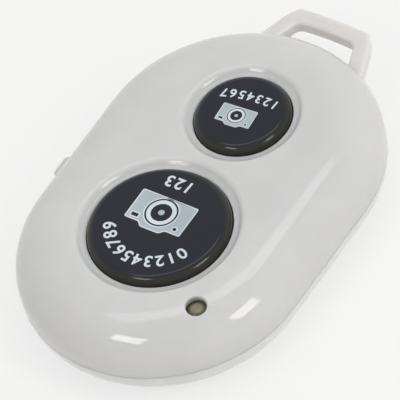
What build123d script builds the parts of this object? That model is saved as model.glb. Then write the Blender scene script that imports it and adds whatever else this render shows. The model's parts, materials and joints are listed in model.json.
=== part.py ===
from build123d import *
from typing import NamedTuple
import math
import os

# A pocket shutter remote: two moulded shells, two push buttons on tactile switches, a side slide
# switch, a status light, a coin cell behind a sliding door and a fixed lanyard loop.
# The origin is at the centre of the flat rear face, +Z points to the buttons and +Y to the loop.
# All sizes are in millimetres.

# Housing
HALF_WIDTH = 17.0
END_CENTRE = 7.58
HEIGHT = 10.6
PARTING_Z = 4.8
SIDE_BAND = 1.0
FRONT_ROUND = 6.5
REAR_ROUND = 5.5
WALL = 1.3
SEAM_DEPTH = 0.08
SEAM_HEIGHT = 0.05
LIP_HEIGHT = 0.8
LIP_THICKNESS = 0.6

# Clearances
FIT_GAP = 0.05
SLIDE_GAP = 0.1
PART_GAP = 0.3

# Lanyard loop
LOOP_REACH = 28.85
LOOP_BOW = 0.2
LOOP_ROOT_Y = 23.8
LOOP_ROOT_HALF_WIDTH = 6.7
LOOP_END_HALF_WIDTH = 4.96
LOOP_BAR = 1.95
LOOP_LEG = 1.65
LOOP_THICKNESS = 1.8
LOOP_CORNER = 1.5
LOOP_WINDOW_CORNER = 0.5
LOOP_EDGE = 0.4

# Push buttons
LARGE_BUTTON_Y = -7.42
LARGE_HOLE_RADIUS = 8.4
LARGE_DISH_RADIUS = 9.6
SMALL_BUTTON_Y = 10.2
SMALL_HOLE_RADIUS = 5.73
SMALL_DISH_RADIUS = 7.1
DISH_DEPTH = 0.6
CAP_RISE = 0.4
CAP_ROLL = 1.1
CAP_WALL = 1.1
CAP_STEM_RADIUS = 1.1
CAP_RIB = 0.7
CAP_FLANGE_WIDTH = 0.6
CAP_FLANGE_THICKNESS = 0.6
COLLAR_DEPTH = 0.4
COLLAR_WALL = 0.8
KEY_WIDTH = 1.2
KEY_DEPTH = 1.0
KEY_INSET = 0.2
BUTTON_TRAVEL = 0.4

# Status light
LIGHT_EDGE_DISTANCE = 4.5
LIGHT_ANGLE = -37.6
LIGHT_HOLE_RADIUS = 1.175
LIGHT_HOLE_CHAMFER = 0.2
LIGHT_PIPE_RADIUS = 1.05
LIGHT_RECESS = 0.35
LIGHT_FLANGE_RADIUS = 1.4
LIGHT_FLANGE_THICKNESS = 0.6
LIGHT_BOSS_RADIUS = 1.9
LIGHT_CHIP = (1.6, 0.8, 0.6)

# Coin cell
CELL_RADIUS = 10.0
CELL_HEIGHT = 3.2
CELL_Y = -2.5
CELL_SIDE_GAP = 0.3
CELL_SHEET = 0.25
CELL_CRIMP = 0.4
GASKET_THICKNESS = 0.5
CELL_CAP_STEP = 0.4

# Battery bay and door
BAY_WALL = 0.8
BAY_FLOOR = 0.6
DOOR_THICKNESS = 1.2
DOOR_MARGIN = 0.65
DOOR_TONGUE = 0.7
DOOR_TONGUE_THICKNESS = 0.6
DOOR_TAB_WIDTH = 3.0
DOOR_TAB_LENGTH = 0.8
DOOR_TAB_SPACING = 9.0
RECESS_FLOOR = 1.0
RECESS_WALL = 1.5
GRIP_GROOVES = 5
GRIP_PITCH = 1.3
GRIP_WIDTH = 0.6
GRIP_DEPTH = 0.35
GRIP_LENGTH = 9.0
GRIP_EDGE_DISTANCE = 2.0

# Battery contacts
CONTACT_GAP = 0.35
CONTACT_WIDTH = 3.0
CONTACT_SHEET = 0.2
CONTACT_FOOT = 1.5
SPRING_SPAN = 9.0
CONTACT_WINDOW_GAP = 0.2

# Circuit board
BOARD_THICKNESS = 0.8
BOARD_EDGE_GAP = 1.3
ANTENNA_TRACK = 0.5
ANTENNA_PITCH = 1.3
ANTENNA_TURNS = 5
ANTENNA_HEIGHT = 2.6
ANTENNA_FOIL = 0.1
ANTENNA_EDGE_DISTANCE = 3.9

# Tactile switches
SWITCH_SIDE = 5.2
SWITCH_BODY_HEIGHT = 1.1
SWITCH_FLOOR = 0.35
SWITCH_CAVITY_RADIUS = 2.0
SWITCH_SHEET = 0.2
SWITCH_TAB_WIDTH = 1.4
SWITCH_TAB_DEPTH = 0.7
PLUNGER_RADIUS = 1.25
PLUNGER_FLANGE_RADIUS = 1.65
PLUNGER_FLANGE_THICKNESS = 0.25
DOME_RADIUS = 1.8
DOME_SHEET = 0.08
SWITCH_TERMINAL = (0.7, 0.5, 0.2)
SWITCH_TERMINAL_SPACING = 3.7

# Power switch
POWER_Y = -1.05
POWER_TRAVEL = 2.0
KNOB_Z = 5.1
KNOB_NECK_HEIGHT = 2.0
KNOB_BASE_LENGTH = 4.2
KNOB_TIP_LENGTH = 2.3
KNOB_RISE = 1.0
KNOB_EDGE = 0.25
KNOB_PLATE_THICKNESS = 0.5
KNOB_PLATE_OVERLAP = 0.35
KNOB_PLATE_GAP = 0.5
KNOB_ARM_THICKNESS = 0.7
KNOB_ARM_WALL = 0.8
SLIDE_CASE_LENGTH = 6.7
SLIDE_CASE_WIDTH = 2.7
SLIDE_CASE_HEIGHT = 1.2
SLIDE_SHEET = 0.15
SLIDE_BASE_THICKNESS = 0.3
LEVER_WIDTH = 1.3
LEVER_THICKNESS = 0.5
LEVER_BLOCK_LENGTH = 2.4
LEVER_BLOCK_WIDTH = 1.2
SLIDE_TERMINAL = (0.5, 0.45, 0.2)
SLIDE_TERMINAL_SPACING = 1.5

# Fasteners and board posts
SCREW_Y = 10.8
SCREW_HEAD_GAP = 0.25
SCREW_RADIUS = 0.8
SCREW_LENGTH = 5.4
SCREW_HEAD_RADIUS = 1.5
SCREW_HEAD_HEIGHT = 0.9
SCREW_SLOT = 0.35
SCREW_SLOT_DEPTH = 0.45
SCREW_SINK = 1.3
POST_WALL = 0.75
BOSS_RADIUS = 1.9
BOSS_SHOULDER = 0.7
PIN_RADIUS = 0.9
PIN_INSET = 2.1
BOARD_HOLE_GAP = 0.15
SNAP_WIDTH = 4.0
SNAP_THICKNESS = 0.9
SNAP_BARB = 0.35
SNAP_BARB_HEIGHT = 0.6
SNAP_HEIGHT = 2.5

# Small board components: length, width, height
BLUETOOTH_CHIP = (5.0, 5.0, 0.9)
MEMORY_CHIP = (5.0, 4.0, 0.9)
MEMORY_LEG = (0.4, 0.6, 0.15)
MEMORY_LEG_PITCH = 1.27
CRYSTAL = (3.2, 2.5, 0.7)
CRYSTAL_LID = (2.8, 2.1, 0.1)
CHIP_COMPONENT = (1.0, 0.5, 0.45)

# Places of the board components
BLUETOOTH_PLACE = (-6.0, 2.3)
MEMORY_PLACE = (6.2, 2.3)
CRYSTAL_PLACE = (-6.6, 6.8)
CAPACITOR_PLACES = [(-9.6, 6.2), (-9.6, 7.4), (-6.0, -1.2), (-7.6, -1.2),
                    (10.6, 3.4), (10.6, 1.2), (10.6, 2.3)]
RESISTOR_PLACES = [(6.2, -1.6), (4.6, -1.6), (4.0, 7.4)]
LIGHT_RESISTOR_OFFSETS = [(-2.3, 1.0), (-3.9, 1.0)]

# Heights that follow from the sizes above
BAND_TOP = PARTING_Z + SIDE_BAND
CELL_BOTTOM = DOOR_THICKNESS + FIT_GAP
CELL_TOP = CELL_BOTTOM + CELL_HEIGHT
BAY_FLOOR_BOTTOM = CELL_TOP + CONTACT_GAP
BOARD_BOTTOM = BAY_FLOOR_BOTTOM + BAY_FLOOR
BOARD_TOP = BOARD_BOTTOM + BOARD_THICKNESS
SWITCH_BODY_TOP = BOARD_TOP + SWITCH_BODY_HEIGHT
SWITCH_COVER_TOP = SWITCH_BODY_TOP + SWITCH_SHEET
PLUNGER_TOP = SWITCH_COVER_TOP + BUTTON_TRAVEL + SLIDE_GAP
INNER_FACE = HEIGHT - WALL
COLLAR_BOTTOM = INNER_FACE - COLLAR_DEPTH
FLANGE_TOP = COLLAR_BOTTOM - FIT_GAP
FLANGE_BOTTOM = FLANGE_TOP - CAP_FLANGE_THICKNESS
CAP_TOP = HEIGHT + CAP_RISE
CAP_CEILING = CAP_TOP - CAP_WALL
RECESS_TOP = DOOR_THICKNESS + SLIDE_GAP
SCREW_SEAT = RECESS_TOP + SCREW_SINK
POST_TOP = BOARD_BOTTOM - SLIDE_GAP
SNAP_TOP = PARTING_Z + SNAP_HEIGHT
SCREW_TIP = SCREW_SEAT + SCREW_LENGTH
PLUNGER_FLANGE_TOP = SWITCH_BODY_TOP - FIT_GAP
PLUNGER_BOTTOM = PLUNGER_FLANGE_TOP - PLUNGER_FLANGE_THICKNESS
SWITCH_FLOOR_TOP = BOARD_TOP + SWITCH_FLOOR
SLIDE_CASE_TOP = BOARD_TOP + SLIDE_CASE_HEIGHT
SLIDE_BASE_TOP = BOARD_TOP + SLIDE_BASE_THICKNESS
SLIDE_CEILING = SLIDE_CASE_TOP - SLIDE_SHEET
LEVER_Z = (SLIDE_BASE_TOP + SLIDE_CEILING) / 2
LEVER_TOP = LEVER_Z + LEVER_THICKNESS / 2
LIGHT_PIPE_BOTTOM = BOARD_TOP + LIGHT_CHIP[2] + PART_GAP
LIGHT_BOSS_BOTTOM = LIGHT_PIPE_BOTTOM + LIGHT_FLANGE_THICKNESS

# Places in the plan that follow from the sizes above
INNER_HALF_WIDTH = HALF_WIDTH - WALL
DOOR_HALF_WIDTH = CELL_RADIUS + CELL_SIDE_GAP + DOOR_MARGIN
BAY_RADIUS = CELL_RADIUS + CELL_SIDE_GAP
BOARD_HALF_WIDTH = INNER_HALF_WIDTH - BOARD_EDGE_GAP
LIGHT_DISTANCE = HALF_WIDTH - LIGHT_EDGE_DISTANCE
LIGHT_X = LIGHT_DISTANCE * math.cos(math.radians(LIGHT_ANGLE))
LIGHT_Y = -END_CENTRE + LIGHT_DISTANCE * math.sin(math.radians(LIGHT_ANGLE))
LIGHT_RESISTOR_PLACES = [(LIGHT_X + x, LIGHT_Y + y) for x, y in LIGHT_RESISTOR_OFFSETS]
HOUSING_END = END_CENTRE + HALF_WIDTH
KNOB_REST_Y = POWER_Y - POWER_TRAVEL / 2
SLOT_LENGTH = KNOB_BASE_LENGTH + POWER_TRAVEL + 2 * SLIDE_GAP
SLOT_HEIGHT = KNOB_NECK_HEIGHT + 2 * SLIDE_GAP
PLATE_X = -(INNER_HALF_WIDTH - KNOB_PLATE_GAP)
ARM_X = (PLATE_X + KNOB_PLATE_THICKNESS, PLATE_X + KNOB_PLATE_THICKNESS + KNOB_ARM_THICKNESS)
SLIDE_CASE_X = (ARM_X[1] + PART_GAP, ARM_X[1] + PART_GAP + SLIDE_CASE_WIDTH)
SNAP_Y = -(END_CENTRE + INNER_HALF_WIDTH - KNOB_PLATE_GAP)
SCREW_SINK_RADIUS = SCREW_HEAD_RADIUS + SCREW_HEAD_GAP
SCREW_X = DOOR_HALF_WIDTH - SCREW_SINK_RADIUS
DOOR_FAR_EDGE = SCREW_Y + SCREW_SINK_RADIUS + DOOR_MARGIN
PIN_X = BOARD_HALF_WIDTH - PIN_INSET
ANTENNA_Y = END_CENTRE + BOARD_HALF_WIDTH - ANTENNA_EDGE_DISTANCE
ABOVE = HEIGHT + WALL
FAR = 2 * (END_CENTRE + HALF_WIDTH)


class Button(NamedTuple):
    """One push button: its place along the housing, its hole, its dish and where its keys stand."""

    name: str
    y: float
    hole_radius: float
    dish_radius: float
    key_angle: float


LARGE_BUTTON = Button("large", LARGE_BUTTON_Y, LARGE_HOLE_RADIUS, LARGE_DISH_RADIUS, 0)
SMALL_BUTTON = Button("small", SMALL_BUTTON_Y, SMALL_HOLE_RADIUS, SMALL_DISH_RADIUS, 90)
BUTTONS = (LARGE_BUTTON, SMALL_BUTTON)


def block(x, y, z):
    """A box between the lowest and highest value on each axis."""
    size = Box(x[1] - x[0], y[1] - y[0], z[1] - z[0], align=(Align.MIN, Align.MIN, Align.MIN))
    return Pos(x[0], y[0], z[0]) * size


def disc(radius, bottom, top, x=0.0, y=0.0):
    """A round post or plate standing on the plane z = bottom."""
    return Pos(x, y, bottom) * Cylinder(radius, top - bottom, align=(Align.CENTER, Align.CENTER, Align.MIN))


def stadium(half_width, bottom, top, end_centre=END_CENTRE):
    """An upright prism with straight sides and two round ends."""
    outline = SlotCenterToCenter(2 * end_centre, 2 * half_width, rotation=90)
    return Pos(0, 0, bottom) * extrude(outline, top - bottom)


def turned(points):
    """A solid of revolution from an outline of radius and height."""
    return revolve(Plane.XZ * make_face(Polyline(*points, close=True)), Axis.Z)


def one_solid(shape):
    """The fused solid on its own, without the wrapper of an operation."""
    solids = shape.solids()
    if len(solids) != 1:
        raise ValueError(f"expected one solid, found {len(solids)}")
    return solids[0]


# Housing: one rounded profile, swept straight along the sides and turned about both end centres
def housing_body(inset):
    """The outer form of the closed housing, or the same form drawn in by a wall."""
    half_width = HALF_WIDTH - inset
    front = (FRONT_ROUND - inset, HEIGHT - BAND_TOP - inset)
    rear = (REAR_ROUND - inset, PARTING_Z - inset)
    flat_front = half_width - front[0]
    flat_rear = half_width - rear[0]
    profile = Polyline((flat_rear, inset), (0, inset), (0, HEIGHT - inset), (flat_front, HEIGHT - inset))
    profile += EllipticalCenterArc((flat_front, BAND_TOP), *front, start_angle=0, arc_size=90)
    profile += Line((half_width, BAND_TOP), (half_width, PARTING_Z))
    profile += EllipticalCenterArc((flat_rear, PARTING_Z), *rear, start_angle=270, arc_size=90)
    half_section = Plane.XZ * make_face(profile)
    section = half_section + mirror(half_section, Plane.YZ)
    middle = extrude(section, END_CENTRE, both=True)
    end = Pos(0, END_CENTRE, 0) * revolve(half_section, Axis.Z, 180)
    return middle + end + mirror(end, Plane.XZ)


def side_slot():
    """The slot for the power knob, cut through the wall of both shells."""
    length = (POWER_Y - SLOT_LENGTH / 2, POWER_Y + SLOT_LENGTH / 2)
    height = (KNOB_Z - SLOT_HEIGHT / 2, KNOB_Z + SLOT_HEIGHT / 2)
    return block((-HALF_WIDTH - WALL, PLATE_X), length, height)


def seam(bottom, top):
    """A shallow groove that one shell leaves along the parting line."""
    return stadium(HALF_WIDTH + WALL, bottom, top) - stadium(HALF_WIDTH - SEAM_DEPTH, bottom, top)


def loop_half_width(y):
    """Half the width of the loop outside, which narrows away from the housing."""
    slope = (LOOP_ROOT_HALF_WIDTH - LOOP_END_HALF_WIDTH) / (LOOP_REACH - LOOP_ROOT_Y)
    return LOOP_ROOT_HALF_WIDTH - slope * (y - LOOP_ROOT_Y)


def loop_outline(reach, inset, corner):
    """The tapered outline of the loop or of its window, starting inside the housing."""
    start = HOUSING_END - 2 * WALL
    root = loop_half_width(start) - inset
    tip = loop_half_width(reach) - inset
    edges = Polyline((-tip, reach), (-root, start), (root, start), (tip, reach))
    edges += ThreePointArc((tip, reach), (0, reach + LOOP_BOW), (-tip, reach))
    face = make_face(edges)
    corners = face.vertices().group_by(Axis.Y)[-1]
    return fillet(corners, corner)


def lanyard_loop():
    """The fixed loop moulded on the front shell, with its edges softened."""
    outside = loop_outline(LOOP_REACH, 0, LOOP_CORNER)
    window = loop_outline(LOOP_REACH - LOOP_BAR, LOOP_LEG, LOOP_WINDOW_CORNER)
    plate = extrude(outside - window, LOOP_THICKNESS)
    rims = plate.edges().group_by(Axis.Z)
    plate = fillet(rims[-1] + rims[0], LOOP_EDGE)
    return Pos(0, 0, PARTING_Z) * plate


def outer_height(distance):
    """The height of the front shell's outside at a distance from an end centre."""
    over = max(0.0, distance - (HALF_WIDTH - FRONT_ROUND))
    return BAND_TOP + (HEIGHT - BAND_TOP) * math.sqrt(1 - (over / FRONT_ROUND) ** 2)


def button_dish(button):
    """The cutter for a shallow dish with a soft lip, and for the hole through its middle."""
    bottom = HEIGHT - DISH_DEPTH
    middle = ((button.hole_radius + button.dish_radius) / 2, HEIGHT - DISH_DEPTH / 2)
    lip = TangentArc((button.dish_radius, HEIGHT), middle, tangent=(-1, 0))
    edge = lip + TangentArc(middle, (button.hole_radius, bottom), tangent=lip % 1)
    edge += Polyline((button.hole_radius, bottom), (0, bottom), (0, ABOVE), (button.dish_radius, ABOVE),
                     (button.dish_radius, HEIGHT))
    dish = revolve(Plane.XZ * make_face(edge), Axis.Z)
    return Pos(0, button.y, 0) * dish + disc(button.hole_radius, PARTING_Z, HEIGHT, 0, button.y)


def button_keys(button, grow):
    """Two keys on opposite sides of a button; grown, they cut the notches in its flange."""
    near = button.hole_radius + KEY_INSET - grow
    half = KEY_WIDTH / 2 + grow
    key = block((near, near + KEY_DEPTH + 2 * grow), (-half, half), (FLANGE_BOTTOM, INNER_FACE + WALL / 2))
    pair = key + Rot(0, 0, 180) * key
    return Pos(0, button.y, 0) * Rot(0, 0, button.key_angle) * pair


def snap_hook(grow):
    """The barb on the snap tab; grown, it cuts the pocket that the barb clicks into."""
    root = SNAP_Y + SNAP_THICKNESS / 2
    tip = SNAP_Y - SNAP_BARB - grow
    catch = SNAP_TOP - SNAP_BARB_HEIGHT - grow
    top = SNAP_TOP + grow
    outline = Polyline((root, catch), (tip, catch), (SNAP_Y - grow, top), (root, top), close=True)
    return extrude(Plane.YZ * make_face(outline), SNAP_WIDTH / 2 + grow, both=True)


def front_shell_inserts():
    """What stands inside the front shell: collars, keys, the light's boss and the board's posts."""
    inserts = disc(LIGHT_BOSS_RADIUS, LIGHT_BOSS_BOTTOM, HEIGHT, LIGHT_X, LIGHT_Y)
    for button in BUTTONS:
        inserts += disc(button.hole_radius + COLLAR_WALL, COLLAR_BOTTOM, HEIGHT, 0, button.y)
        inserts += button_keys(button, 0)
    for side in (-1, 1):
        inserts += disc(BOSS_RADIUS, POST_TOP, HEIGHT, side * SCREW_X, SCREW_Y)
        inserts += disc(BOSS_RADIUS + BOSS_SHOULDER, BOARD_TOP, HEIGHT, side * SCREW_X, SCREW_Y)
        inserts += disc(PIN_RADIUS, BOARD_TOP, HEIGHT, side * PIN_X, LARGE_BUTTON_Y)
    return inserts & housing_body(WALL / 2)


def front_shell():
    upper = block((-FAR, FAR), (-FAR, FAR), (PARTING_Z, ABOVE))
    lip_top = PARTING_Z + LIP_HEIGHT + FIT_GAP
    shell = (housing_body(0) & upper) + lanyard_loop() - housing_body(WALL)
    shell -= stadium(INNER_HALF_WIDTH + LIP_THICKNESS + FIT_GAP, PARTING_Z, lip_top)
    shell += front_shell_inserts()
    for button in BUTTONS:
        shell -= button_dish(button)
    shell -= disc(LIGHT_HOLE_RADIUS, LIGHT_BOSS_BOTTOM, HEIGHT, LIGHT_X, LIGHT_Y)
    rim = outer_height(LIGHT_DISTANCE) - LIGHT_HOLE_CHAMFER
    widened = LIGHT_HOLE_RADIUS + 2 * LIGHT_HOLE_CHAMFER
    countersink = Cone(LIGHT_HOLE_RADIUS, widened, 2 * LIGHT_HOLE_CHAMFER,
                       align=(Align.CENTER, Align.CENTER, Align.MIN))
    shell -= Pos(LIGHT_X, LIGHT_Y, rim) * countersink
    for side in (-1, 1):
        shell -= disc(SCREW_RADIUS, POST_TOP, SCREW_TIP + PART_GAP, side * SCREW_X, SCREW_Y)
    shell -= snap_hook(FIT_GAP)
    shell -= side_slot()
    shell -= seam(PARTING_Z, PARTING_Z + SEAM_HEIGHT)
    return one_solid(shell)


# Battery door: a plate cut from the housing's own form, held by tongues and tabs
def door_tongues(grow):
    """The tongues along both sides and the tabs at the far edge; grown, they cut their grooves."""
    low = DOOR_THICKNESS - DOOR_TONGUE_THICKNESS - grow
    high = DOOR_THICKNESS + grow
    half_width = DOOR_HALF_WIDTH + DOOR_TONGUE + grow
    tongues = block((-half_width, half_width), (-FAR, DOOR_FAR_EDGE + grow), (low, high))
    for side in (-1, 1):
        middle = side * DOOR_TAB_SPACING / 2
        across = (middle - DOOR_TAB_WIDTH / 2 - grow, middle + DOOR_TAB_WIDTH / 2 + grow)
        along = (DOOR_FAR_EDGE - WALL, DOOR_FAR_EDGE + DOOR_TAB_LENGTH + grow)
        tongues += block(across, along, (low, high))
    return tongues


def battery_door():
    plate = block((-DOOR_HALF_WIDTH, DOOR_HALF_WIDTH), (-FAR, DOOR_FAR_EDGE), (0, DOOR_THICKNESS))
    door = (plate + door_tongues(0)) & housing_body(0)
    flat_end = -(END_CENTRE + HALF_WIDTH - REAR_ROUND)
    groove = extrude(SlotOverall(GRIP_LENGTH, GRIP_WIDTH), GRIP_DEPTH)
    for row in range(GRIP_GROOVES):
        door -= Pos(0, flat_end + GRIP_EDGE_DISTANCE + row * GRIP_PITCH, 0) * groove
    return one_solid(door)


# Rear shell: skin, door recess, cell bay, screw posts and the snap tab
def rear_shell():
    lower = block((-FAR, FAR), (-FAR, FAR), (0, PARTING_Z))
    recess_half = DOOR_HALF_WIDTH + SLIDE_GAP
    recess_end = DOOR_FAR_EDGE + SLIDE_GAP
    tray = block((-recess_half - RECESS_WALL, recess_half + RECESS_WALL), (-FAR, recess_end + RECESS_WALL),
                 (0, RECESS_TOP + RECESS_FLOOR))
    shell = (housing_body(0) & lower) - (housing_body(WALL) - tray)
    lip = stadium(INNER_HALF_WIDTH + LIP_THICKNESS, PARTING_Z - LIP_HEIGHT, PARTING_Z + LIP_HEIGHT)
    shell += lip - stadium(INNER_HALF_WIDTH, 0, ABOVE) - seam(0, ABOVE)
    shell += disc(BAY_RADIUS + BAY_WALL, RECESS_TOP, BOARD_BOTTOM, 0, CELL_Y)
    snap = (SNAP_Y, SNAP_Y + SNAP_THICKNESS)
    shell += block((-SNAP_WIDTH / 2, SNAP_WIDTH / 2), snap, (RECESS_TOP, SNAP_TOP)) + snap_hook(0)
    for side in (-1, 1):
        shell += disc(SCREW_SINK_RADIUS + POST_WALL, RECESS_TOP, POST_TOP, side * SCREW_X, SCREW_Y)
    shell -= block((-recess_half, recess_half), (-FAR, recess_end), (0, RECESS_TOP))
    shell -= door_tongues(SLIDE_GAP)
    shell -= disc(BAY_RADIUS, 0, BAY_FLOOR_BOTTOM, 0, CELL_Y)
    for side in (-1, 1):
        x = side * SCREW_X
        shell -= disc(SCREW_SINK_RADIUS, 0, SCREW_SEAT, x, SCREW_Y)
        shell -= disc(SCREW_RADIUS + SLIDE_GAP, 0, POST_TOP, x, SCREW_Y)
    shell -= contact_windows()
    shell -= side_slot()
    shell -= seam(PARTING_Z - SEAM_HEIGHT, PARTING_Z)
    return one_solid(shell)


# Battery contacts
def contact_windows():
    """Openings in the bay for the spring against the cell's end and the strip against its rim."""
    half = CONTACT_WIDTH / 2 + CONTACT_WINDOW_GAP
    reach = SPRING_SPAN / 2 + CONTACT_FOOT + CONTACT_WINDOW_GAP
    rim = CELL_Y + CELL_RADIUS
    windows = block((-reach, reach), (CELL_Y - half, CELL_Y + half), (CELL_TOP, BOARD_BOTTOM))
    windows += block((-half, half), (rim - CONTACT_SHEET, rim + 2 * BAY_WALL),
                     (RECESS_TOP + RECESS_FLOOR, BOARD_BOTTOM))
    return windows


def negative_contact():
    """A spring strip that bows from the board down to the middle of the cell."""
    top = BOARD_BOTTOM
    foot = top - CONTACT_SHEET
    half = SPRING_SPAN / 2
    end = half + CONTACT_FOOT
    strip = Polyline((half, foot), (end, foot), (end, top), (half, top))
    strip += ThreePointArc((half, top), (0, CELL_TOP + CONTACT_SHEET), (-half, top))
    strip += Polyline((-half, top), (-end, top), (-end, foot), (-half, foot))
    strip += ThreePointArc((-half, foot), (0, CELL_TOP), (half, foot))
    band = extrude(Plane.XZ * make_face(strip), CONTACT_WIDTH / 2, both=True)
    return one_solid(Pos(0, CELL_Y, 0) * band)


def positive_contact():
    """A strip that hangs from the board and bears on the rim of the cell."""
    half = CONTACT_WIDTH / 2
    rim = CELL_Y + CELL_RADIUS
    tab = block((-half, half), (rim, rim + CONTACT_SHEET), (CELL_BOTTOM + CELL_HEIGHT / 2, BOARD_BOTTOM))
    foot = block((-half, half), (rim, rim + CONTACT_FOOT), (BOARD_BOTTOM - CONTACT_SHEET, BOARD_BOTTOM))
    return one_solid(tab + foot)


# Coin cell: a can that is the positive pole, a gasket, and the negative cap towards the board
def coin_cell():
    can_inside = CELL_RADIUS - CELL_SHEET
    floor = CELL_BOTTOM + CELL_SHEET
    crimp = CELL_TOP - CELL_CRIMP
    cap_radius = can_inside - GASKET_THICKNESS
    can = turned([(0, CELL_BOTTOM), (can_inside, CELL_BOTTOM), (CELL_RADIUS, floor), (CELL_RADIUS, crimp),
                  (can_inside, crimp + CELL_SHEET), (can_inside, floor), (0, floor)])
    gasket = turned([(cap_radius, floor), (can_inside, floor), (can_inside, crimp + CELL_SHEET / 2),
                     (cap_radius, crimp)])
    cap = turned([(0, floor), (cap_radius, floor), (cap_radius, crimp),
                  (cap_radius - CELL_CAP_STEP, CELL_TOP), (0, CELL_TOP)])
    place = Pos(0, CELL_Y, 0)
    return {
        "coin_cell_can": one_solid(place * can),
        "coin_cell_gasket": one_solid(place * gasket),
        "coin_cell_cap": one_solid(place * cap),
    }


# Push buttons
def button_cap(button):
    """A hollow cap with a rolled edge, a flange under the shell and a ribbed stem on its switch."""
    radius = button.hole_radius - SLIDE_GAP
    body = disc(radius, FLANGE_BOTTOM, CAP_TOP)
    body = fillet(body.edges().group_by(Axis.Z)[-1], CAP_ROLL)
    body += disc(radius + CAP_FLANGE_WIDTH, FLANGE_BOTTOM, FLANGE_TOP)
    body -= disc(radius - CAP_WALL, FLANGE_BOTTOM, CAP_CEILING)
    rib_bottom = PLUNGER_TOP + PART_GAP
    reach = radius - CAP_WALL / 2
    rib = block((-reach, reach), (-CAP_RIB / 2, CAP_RIB / 2), (rib_bottom, CAP_CEILING))
    body += rib + Rot(0, 0, 90) * rib + disc(CAP_STEM_RADIUS, PLUNGER_TOP, CAP_CEILING)
    return one_solid(Pos(0, button.y, 0) * body - button_keys(button, SLIDE_GAP))


def tactile_switch(button):
    """The switch under a button: base with its terminals, snap dome, plunger and sheet cover."""
    half = SWITCH_SIDE / 2
    base = block((-half, half), (-half, half), (BOARD_TOP, SWITCH_BODY_TOP))
    base -= disc(SWITCH_CAVITY_RADIUS, SWITCH_FLOOR_TOP, SWITCH_BODY_TOP)
    cover = block((-half, half), (-half, half), (SWITCH_BODY_TOP, SWITCH_COVER_TOP))
    cover -= disc(PLUNGER_RADIUS + SLIDE_GAP, SWITCH_BODY_TOP, SWITCH_COVER_TOP)
    terminals = []
    for side in (-1, 1):
        across = sorted((side * half, side * (half + SWITCH_SHEET)))
        cover += block(across, (-SWITCH_TAB_WIDTH / 2, SWITCH_TAB_WIDTH / 2),
                       (SWITCH_BODY_TOP - SWITCH_TAB_DEPTH, SWITCH_COVER_TOP))
        for end in (-1, 1):
            length, width, height = SWITCH_TERMINAL
            y = end * SWITCH_TERMINAL_SPACING / 2
            across = sorted((side * half, side * (half + length)))
            terminals.append(block(across, (y - width / 2, y + width / 2), (BOARD_TOP, BOARD_TOP + height)))
    rise = PLUNGER_BOTTOM - SWITCH_FLOOR_TOP
    sphere_radius = (DOME_RADIUS ** 2 + rise ** 2) / (2 * rise)
    dome = Sphere(sphere_radius) - Sphere(sphere_radius - DOME_SHEET)
    dome = Pos(0, 0, PLUNGER_BOTTOM - sphere_radius) * dome
    dome &= disc(SWITCH_CAVITY_RADIUS, SWITCH_FLOOR_TOP, PLUNGER_BOTTOM)
    plunger = disc(PLUNGER_FLANGE_RADIUS, PLUNGER_BOTTOM, PLUNGER_FLANGE_TOP)
    plunger += disc(PLUNGER_RADIUS, PLUNGER_BOTTOM, PLUNGER_TOP)
    place = Pos(0, button.y, 0)
    name = button.name
    return {
        f"{name}_switch_base": one_solid(place * base),
        f"{name}_switch_terminals": place * Compound(children=terminals),
        f"{name}_switch_dome": one_solid(place * dome),
        f"{name}_switch_plunger": one_solid(place * plunger),
        f"{name}_switch_cover": one_solid(place * cover),
    }


# Power switch: a knob in the side wall that carries the lever of a small slide switch
def power_switch_knob():
    base = KNOB_BASE_LENGTH / 2
    tip = KNOB_TIP_LENGTH / 2
    outside = -HALF_WIDTH
    grip = Polyline((PLATE_X, -base), (outside, -base), (outside - KNOB_RISE, -tip),
                    (outside - KNOB_RISE, tip), (outside, base), (PLATE_X, base), close=True)
    knob = extrude(make_face(grip), KNOB_NECK_HEIGHT / 2, both=True)
    knob = fillet(knob.edges().group_by(Axis.X)[0] + knob.edges().group_by(Axis.X)[1], KNOB_EDGE)
    plate_half = SLOT_LENGTH / 2 + POWER_TRAVEL / 2 + KNOB_PLATE_OVERLAP
    plate_height = SLOT_HEIGHT / 2 + KNOB_PLATE_OVERLAP
    knob += block((PLATE_X, PLATE_X + KNOB_PLATE_THICKNESS), (-plate_half, plate_half),
                  (-plate_height, plate_height))
    knob = Pos(0, KNOB_REST_Y, KNOB_Z) * knob
    arm_half = LEVER_WIDTH / 2 + KNOB_ARM_WALL
    knob += block(ARM_X, (KNOB_REST_Y - arm_half, KNOB_REST_Y + arm_half), (KNOB_Z, LEVER_TOP))
    fork_half = LEVER_WIDTH / 2 + FIT_GAP
    fork = block(ARM_X, (KNOB_REST_Y - fork_half, KNOB_REST_Y + fork_half),
                 (LEVER_Z - LEVER_THICKNESS / 2 - FIT_GAP, LEVER_TOP))
    return one_solid(knob - fork)


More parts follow.
